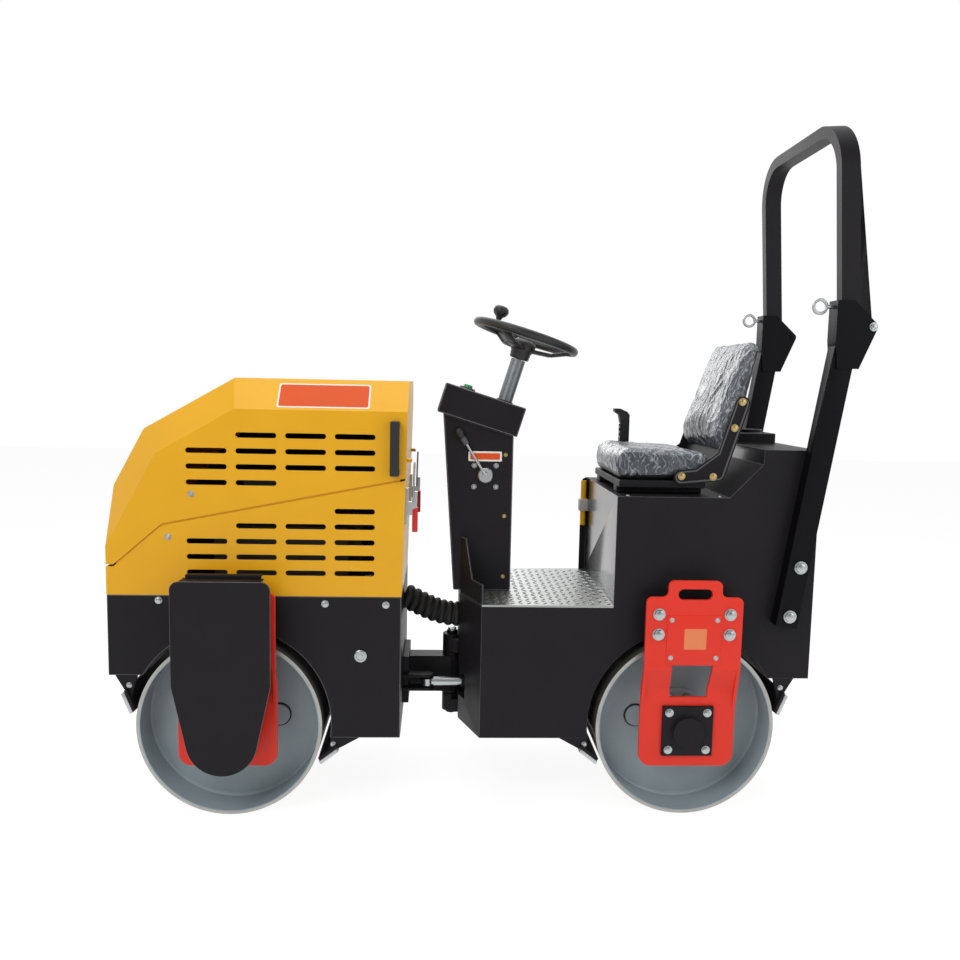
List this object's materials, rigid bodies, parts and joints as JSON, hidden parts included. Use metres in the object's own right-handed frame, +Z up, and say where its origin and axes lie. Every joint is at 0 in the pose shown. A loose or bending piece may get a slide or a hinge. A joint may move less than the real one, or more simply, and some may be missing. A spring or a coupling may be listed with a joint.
{
  "type": "ride-on double-drum road roller",
  "caption": "Articulated ride-on road roller with steel drums front and rear, slotted engine hood, open operator platform with seat and wheel, and a folding roll hoop.",
  "frame": {"origin": "on the ground under the middle of the machine's outline", "axes": "+X forward towards the engine hood, +Y to the operator's left, +Z up"},
  "size_m": [2.3, 0.81, 2.1368],
  "materials": {
    "black_paint": "semi-gloss",
    "yellow_paint": "semi-gloss",
    "red_paint": "semi-gloss",
    "drum_steel": "satin",
    "zinc": "satin",
    "cast_iron": "matte",
    "rubber": "matte",
    "vinyl": "satin",
    "plastic": "matte"
  },
  "bodies": {
    "rear_frame": {"rear_chassis": "black_paint", "floor_plate": "zinc", "toe_boards": "black_paint", "console_pedestal": "black_paint", "console_head": "black_paint", "throttle_lever": "zinc", "steering_column": "zinc", "seat_base": "black_paint", "seat_cushion": "vinyl", "seat_back": "vinyl", "seat_brackets": "black_paint", "travel_lever": "plastic", "tank_hatch": "black_paint", "stow_tube": "yellow_paint", "rops_legs": "black_paint", "rops_pins": "zinc", "rear_brackets": "red_paint", "rear_mounts": "rubber", "rear_hubs": "black_paint", "rear_cover": "black_paint", "rear_scrapers": "black_paint", "rear_knuckle": "black_paint", "hose_sleeve": "rubber"},
    "front_frame": {"front_chassis": "black_paint", "engine_block": "cast_iron", "lower_panels": "yellow_paint", "end_panels": "yellow_paint", "hood_hinges": "black_paint", "hood_latches": "zinc", "front_brackets": "red_paint", "front_mounts": "rubber", "front_hubs": "black_paint", "front_cover": "black_paint", "front_scrapers": "black_paint", "front_coupler": "black_paint"},
    "front_drum": {"front_drum": "drum_steel"},
    "rear_drum": {"rear_drum": "drum_steel"},
    "hood": {"hood_top": "yellow_paint", "hood_sides": "yellow_paint", "hood_handles": "plastic"},
    "rops_hoop": {"rops_hoop": "black_paint"},
    "steering_wheel": {"steering_wheel": "plastic"},
    "ram_barrel": {"ram_barrel": "black_paint"},
    "ram_rod": {"ram_rod": "zinc"}
  },
  "joints": [
    {"name": "steer", "type": "hinge", "parent": "rear_frame", "child": "front_frame", "pos_m": [0.09, 0, 0.36], "axis": [0, 0, 1], "range_deg": [-30, 30], "deforming": ["hose_sleeve"]},
    {"name": "front_drum_spin", "type": "hinge", "parent": "front_frame", "child": "front_drum", "pos_m": [0.769, 0, 0.28], "axis": [0, 1, 0], "continuous": true},
    {"name": "rear_drum_spin", "type": "hinge", "parent": "rear_frame", "child": "rear_drum", "pos_m": [-0.635, 0, 0.28], "axis": [0, 1, 0], "continuous": true},
    {"name": "hood_open", "type": "hinge", "parent": "front_frame", "child": "hood", "pos_m": [1.143, 0, 0.771], "axis": [0, 1, 0], "range_deg": [0, 60]},
    {"name": "hoop_fold", "type": "hinge", "parent": "rear_frame", "child": "rops_hoop", "pos_m": [-1.136, 0, 1.525], "axis": [0, -1, 0], "range_deg": [0, 120]},
    {"name": "wheel_turn", "type": "hinge", "parent": "rear_frame", "child": "steering_wheel", "pos_m": [-0.13515, 0, 1.48936], "axis": [-0.2924, 0, 0.9563], "continuous": true},
    {"name": "ram_swivel", "type": "hinge", "parent": "rear_frame", "child": "ram_barrel", "pos_m": [-0.193, 0.095, 0.356], "axis": [0, 0, 1], "range_deg": [-6.6, 6.6]},
    {"name": "ram_slide", "type": "slide", "parent": "ram_barrel", "child": "ram_rod", "axis": [1, 0, 0], "range_m": [-0.05, 0.05]}
  ],
  "couplings": [
    {"joint": "ram_swivel", "follows": "steer", "ratio": 0.215},
    {"joint": "ram_slide", "follows": "steer", "m_per_rad": -0.0929}
  ]
}
